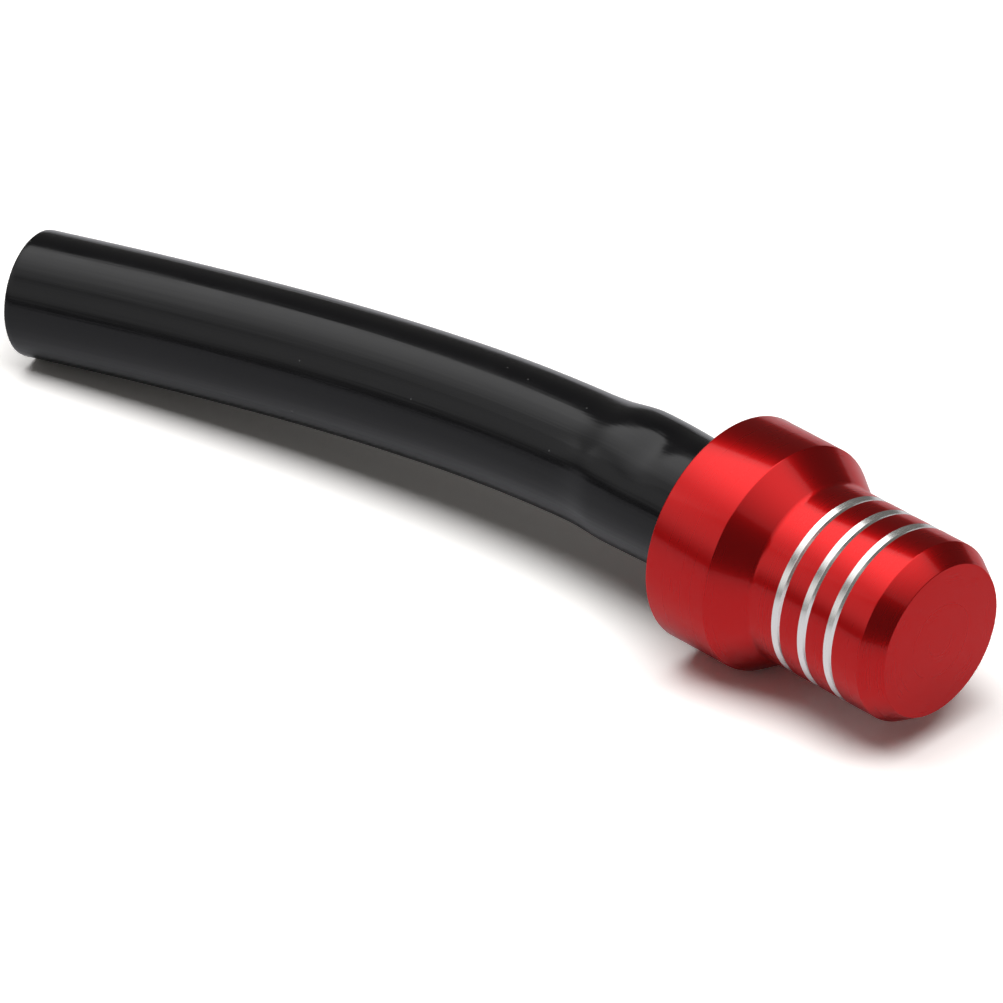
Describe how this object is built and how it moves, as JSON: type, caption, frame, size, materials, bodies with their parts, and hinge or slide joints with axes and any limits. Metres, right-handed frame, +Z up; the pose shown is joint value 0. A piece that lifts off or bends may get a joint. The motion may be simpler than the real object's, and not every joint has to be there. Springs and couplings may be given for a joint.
{
  "type": "tank vent hose",
  "caption": "One-way tank vent: a red turned aluminium valve body with a sprung ball check inside, on a short bent black hose whose open end pushes onto a breather spigot.",
  "frame": {"origin": "on the surface that the object lies on, below the middle of its bounding box", "axes": "+Z up; -X level, the way the hose's open end points; the valve's axis is level and its nose points along +X, turned 15 degrees towards -Y"},
  "size_m": [0.0873, 0.0247, 0.018],
  "materials": {
    "red_anodised": "bright red anodising over fine lathe lines, satin",
    "black_hose": "smooth glossy black",
    "brass": "as turned",
    "nitrile": "matt black",
    "spring_steel": "bright drawn",
    "ball_steel": "polished"
  },
  "bodies": {
    "vent": {"vent_body": "red_anodised", "vent_hose": "black_hose", "valve_stem": "brass", "stem_o_ring": "nitrile", "retaining_ring": "spring_steel", "valve_spring": "spring_steel", "seat_ring": "nitrile", "seat_plug": "brass"},
    "ball": {"check_ball": "ball_steel"}
  },
  "joints": [
    {"name": "ball_lift", "type": "slide", "parent": "vent", "child": "ball", "axis": [-0.9659, 0.2588, 0], "range_m": [0, 0.0012], "stiffness_N_per_m": 20, "springref_m": -0.003, "deforming": ["valve_spring"]}
  ]
}
